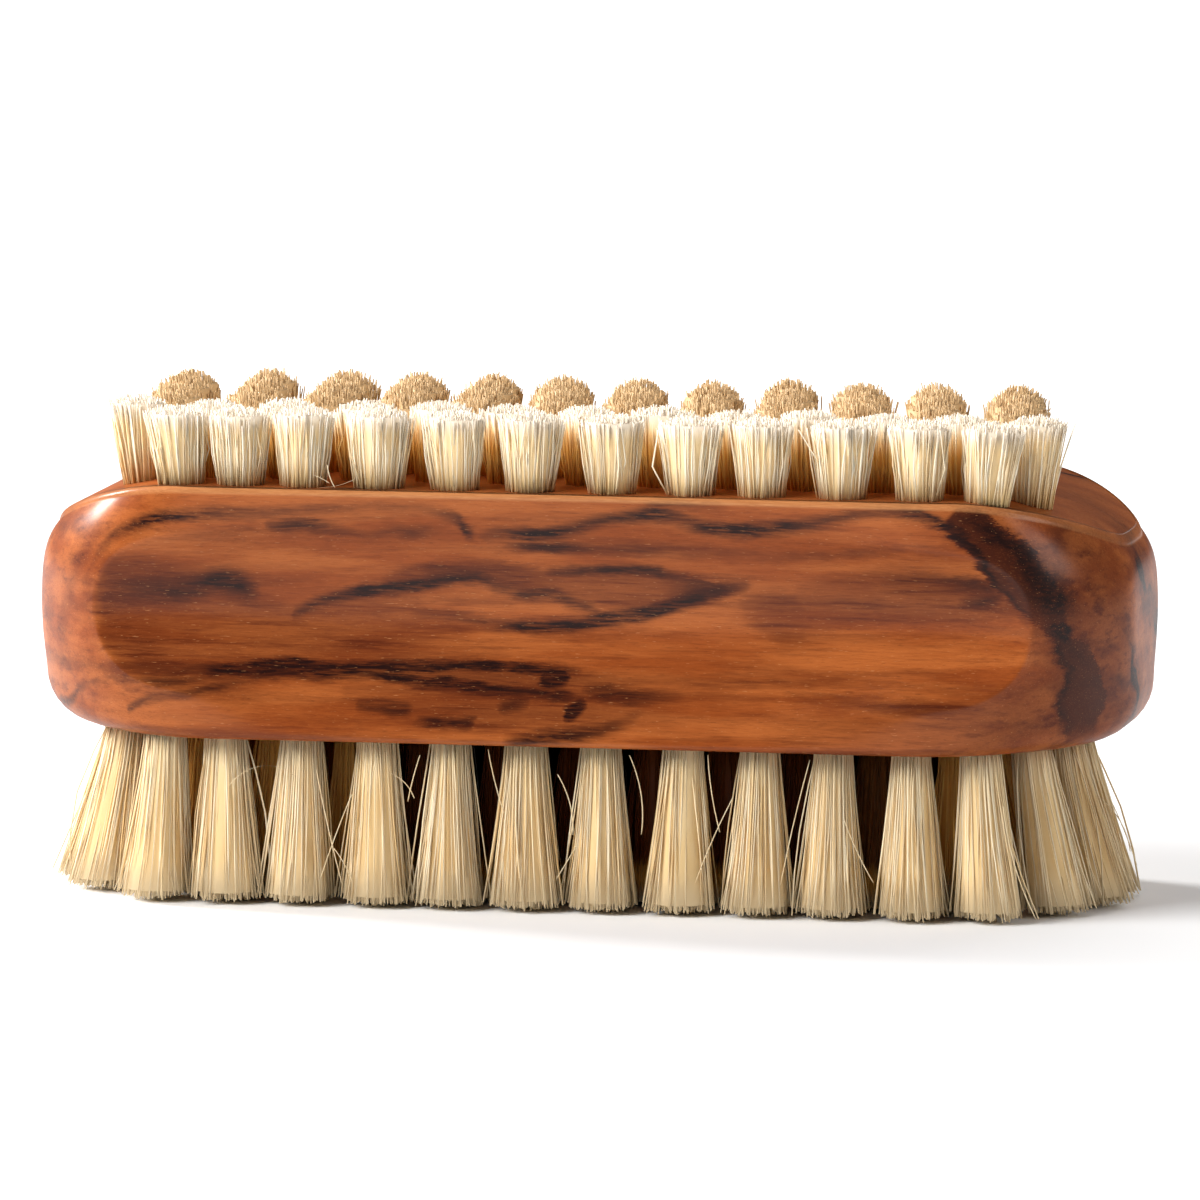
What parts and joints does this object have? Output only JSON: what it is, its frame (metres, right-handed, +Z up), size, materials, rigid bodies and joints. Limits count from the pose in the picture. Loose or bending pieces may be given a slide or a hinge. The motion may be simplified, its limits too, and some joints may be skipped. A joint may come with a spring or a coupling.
{
  "type": "nail brush",
  "caption": "Two-sided wooden nail brush: oval-ended block with a finger groove in each long side, short stiff bristle tufts on top and longer flared tufts below.",
  "frame": {"origin": "under the middle of the body, on the plane that the lower bristle tips stand on", "axes": "+X along the brush, +Y across it from the front finger groove to the back one, +Z up through the short upper bristles"},
  "size_m": [0.1, 0.04, 0.0451],
  "materials": {
    "oiled_wood": "oiled, satin, with dark streaks along the grain",
    "bristle": "pale natural bristle, trimmed, undyed"
  },
  "bodies": {
    "root": {"wooden_body": "oiled_wood", "upper_bristle_row_1": "bristle", "upper_bristle_row_2": "bristle", "upper_bristle_row_3": "bristle", "upper_bristle_row_4": "bristle", "upper_bristle_row_5": "bristle", "upper_bristle_row_6": "bristle", "lower_bristle_row_1": "bristle", "lower_bristle_row_2": "bristle", "lower_bristle_row_3": "bristle", "lower_bristle_row_4": "bristle", "lower_bristle_row_5": "bristle", "lower_bristle_row_6": "bristle"}
  },
  "joints": []
}
